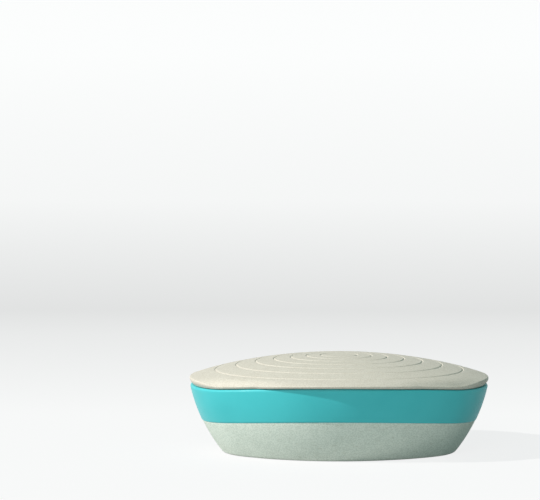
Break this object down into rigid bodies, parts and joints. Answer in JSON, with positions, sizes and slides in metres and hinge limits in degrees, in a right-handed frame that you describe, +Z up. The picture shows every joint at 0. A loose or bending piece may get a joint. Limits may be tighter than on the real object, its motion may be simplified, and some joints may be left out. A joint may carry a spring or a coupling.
{
  "type": "travel soap box",
  "caption": "Oval travel soap box: flared base tray, soft seal band bowed around the rim, lift-out drain rack and a crowned lid that lifts straight off.",
  "frame": {"origin": "middle of the foot, on the surface the box stands on", "axes": "+X along the length, -Y towards the long side seen in the picture, +Z up the way the lid lifts"},
  "size_m": [0.1152, 0.0824, 0.0375],
  "materials": {
    "base_composite": "pale grey-green plant-fibre composite, matte, finely speckled",
    "band_silicone": "turquoise silicone, satin",
    "rack_composite": "pale plant-fibre composite, matte, finely speckled",
    "lid_composite": "off-white plant-fibre composite, satin, finely speckled"
  },
  "bodies": {
    "base": {"base_tray": "base_composite", "seal_band": "band_silicone"},
    "rack": {"drain_rack": "rack_composite"},
    "lid": {"lid": "lid_composite"}
  },
  "joints": [
    {"name": "rack_lift", "type": "slide", "parent": "base", "child": "rack", "axis": [0, 0, 1], "range_m": [0, 0.045]},
    {"name": "lid_lift", "type": "slide", "parent": "rack", "child": "lid", "axis": [0, 0, 1], "range_m": [0, 0.06]}
  ]
}
